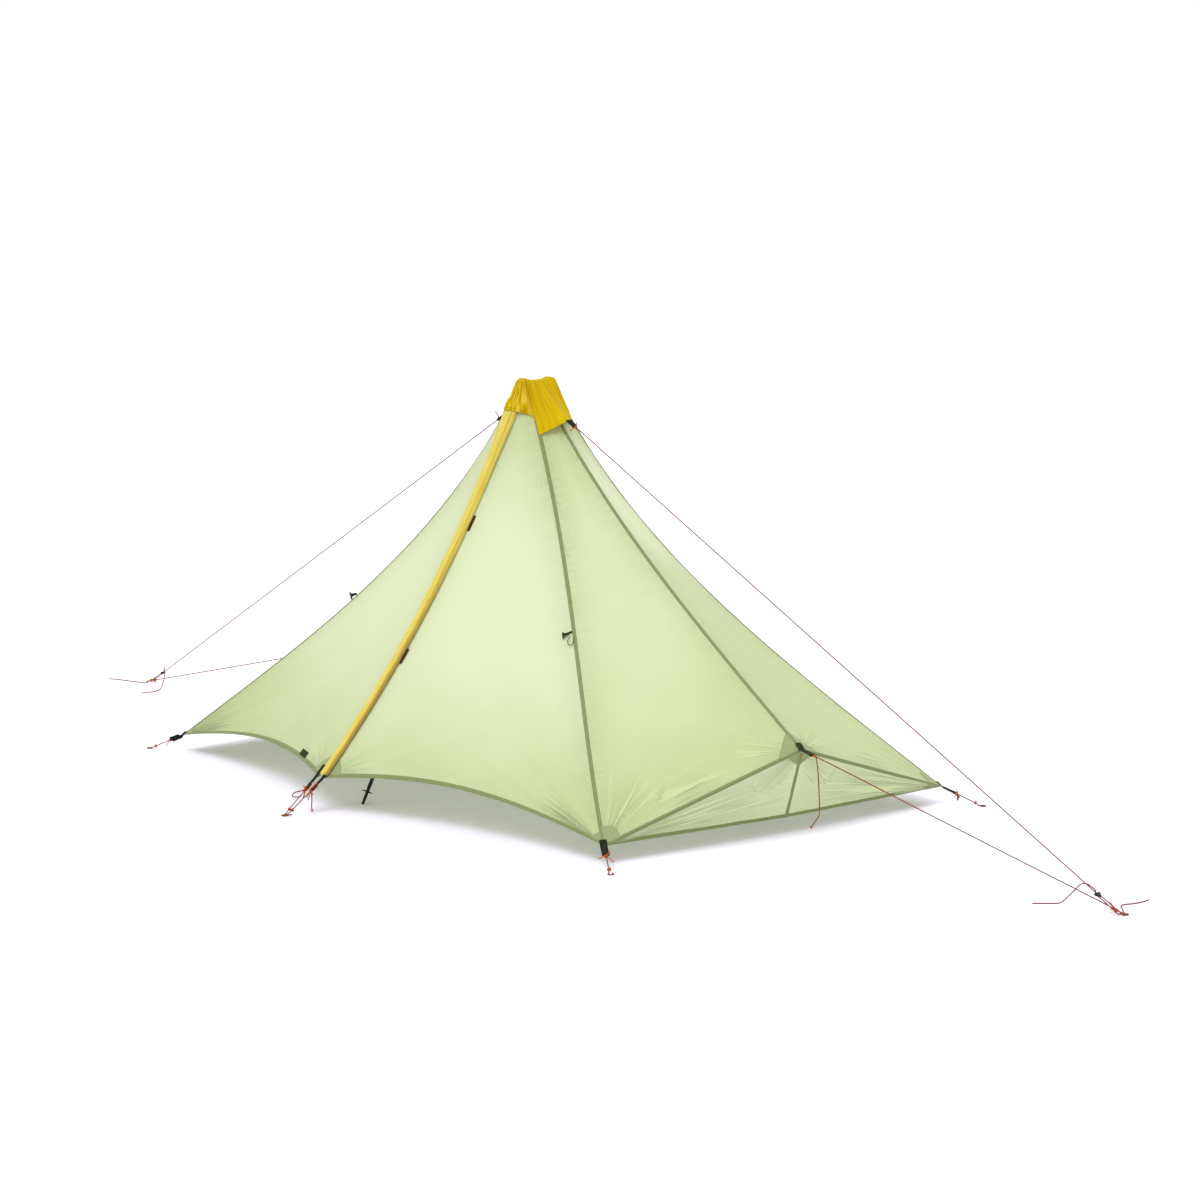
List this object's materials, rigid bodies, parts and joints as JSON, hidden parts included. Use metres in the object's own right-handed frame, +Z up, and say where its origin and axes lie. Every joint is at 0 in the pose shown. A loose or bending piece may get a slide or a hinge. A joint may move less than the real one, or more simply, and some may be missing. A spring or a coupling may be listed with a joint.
{
  "type": "pyramid tent",
  "caption": "Single-skin pyramid tent pitched on two trekking poles, with a capped apex, a zipped door that folds open, raised ends and guylines.",
  "frame": {"origin": "on the ground, under the middle of the ridge between the two pole grips", "axes": "+X towards the foot end, -Y towards the door at the front, +Z up"},
  "size_m": [4.9121, 1.8331, 1.2],
  "materials": {
    "fly_cloth": "satin",
    "cap_cloth": "matte",
    "flap_cloth": "satin",
    "webbing": "matte",
    "zip_tape": "matte",
    "dark_plastic": "satin",
    "zinc": "satin",
    "pole_tube": "satin",
    "grip_foam": "matte",
    "cord": "matte"
  },
  "bodies": {
    "fly": {"apex_cap": "cap_cloth", "foot_apex_tab": "webbing", "foot_back_corner_cord": "cord", "foot_back_corner_tab": "webbing", "foot_back_panel": "fly_cloth", "foot_front_corner_cord": "cord", "foot_front_corner_tab": "webbing", "foot_front_fixed_panel": "fly_cloth", "foot_front_panel": "fly_cloth", "foot_guyline": "cord", "foot_lower_panel": "fly_cloth", "foot_peg_loop": "cord", "foot_raised_guyline": "cord", "foot_raised_tab": "webbing", "front_pole_grip": "grip_foam", "front_pole_lock_clamp": "dark_plastic", "front_pole_upper_shaft": "pole_tube", "head_apex_tab": "webbing", "head_back_corner_cord": "cord", "head_back_corner_tab": "webbing", "head_back_panel": "fly_cloth", "head_front_corner_cord": "cord", "head_front_corner_tab": "webbing", "head_front_fixed_panel": "fly_cloth", "head_front_panel": "fly_cloth", "head_guyline": "cord", "head_lower_panel": "fly_cloth", "head_peg_loop": "cord", "head_raised_guyline": "cord", "head_raised_tab": "webbing", "rear_corner_cord": "cord", "rear_corner_tab": "webbing", "rear_foot_panel": "fly_cloth", "rear_head_panel": "fly_cloth", "rear_pole_grip": "grip_foam", "rear_pole_lock_clamp": "dark_plastic", "rear_pole_upper_shaft": "pole_tube", "right_toggle_loop": "cord"},
    "left_door": {"left_door_panel": "fly_cloth", "storm_flap": "flap_cloth", "zip_chain": "zip_tape", "left_door_tab": "webbing", "left_door_cord": "cord"},
    "right_door": {"right_door_panel": "fly_cloth", "right_door_tab": "webbing", "right_door_cord": "cord"},
    "zip_slider": {"zip_slider": "zinc"},
    "left_toggle": {"left_toggle": "dark_plastic"},
    "right_toggle": {"right_toggle": "dark_plastic"},
    "front_pole_lower": {"front_pole_lower_shaft": "pole_tube", "front_pole_tip": "dark_plastic"},
    "rear_pole_lower": {"rear_pole_lower_shaft": "pole_tube", "rear_pole_tip": "dark_plastic"},
    "front_pole_lever": {"front_pole_lock_lever": "dark_plastic"},
    "rear_pole_lever": {"rear_pole_lock_lever": "dark_plastic"},
    "foot_line_lock": {"foot_line_lock": "dark_plastic", "foot_guy_tail": "cord"},
    "head_line_lock": {"head_line_lock": "dark_plastic", "head_guy_tail": "cord"}
  },
  "joints": [
    {"name": "left_door_fold", "type": "hinge", "parent": "fly", "child": "left_door", "pos_m": [-0.00048, -0.11333, 1.09934], "axis": [-0.6285, -0.3457, -0.6968], "range_deg": [0, 110]},
    {"name": "right_door_fold", "type": "hinge", "parent": "fly", "child": "right_door", "pos_m": [0.00048, -0.11333, 1.09934], "axis": [-0.6285, 0.3457, 0.6968], "range_deg": [0, 110]},
    {"name": "zip_slider_run", "type": "hinge", "parent": "left_door", "child": "zip_slider", "pos_m": [0, -3.62049, 2.74344], "axis": [1, 0, 0], "range_deg": [0, 16.33]},
    {"name": "right_toggle_lift", "type": "hinge", "parent": "fly", "child": "right_toggle", "pos_m": [0.54507, -0.28758, 0.52685], "axis": [-0.6637, 0.3931, 0.6364], "range_deg": [0, 100]},
    {"name": "left_toggle_lift", "type": "hinge", "parent": "fly", "child": "left_toggle", "pos_m": [-0.55547, -0.28779, 0.52511], "axis": [-0.46, 0.8879, 0], "range_deg": [0, 90]},
    {"name": "front_pole_length", "type": "slide", "parent": "fly", "child": "front_pole_lower", "axis": [0, 0.4512, 0.8924], "range_m": [0, 0.3]},
    {"name": "front_pole_lock", "type": "hinge", "parent": "fly", "child": "front_pole_lever", "pos_m": [0.0165, -0.36064, 0.56447], "axis": [0, -0.4512, -0.8924], "range_deg": [0, 110]},
    {"name": "rear_pole_length", "type": "slide", "parent": "fly", "child": "rear_pole_lower", "axis": [0, -0.4512, 0.8924], "range_m": [0, 0.3]},
    {"name": "rear_pole_lock", "type": "hinge", "parent": "fly", "child": "rear_pole_lever", "pos_m": [-0.0165, 0.36064, 0.56447], "axis": [0, 0.4512, -0.8924], "range_deg": [0, 110]},
    {"name": "foot_line_lock_slide", "type": "slide", "parent": "fly", "child": "foot_line_lock", "axis": [-0.8985, 0, 0.439], "range_m": [0, 0.3]},
    {"name": "head_line_lock_slide", "type": "slide", "parent": "fly", "child": "head_line_lock", "axis": [0.8985, 0, 0.439], "range_m": [0, 0.3]}
  ]
}
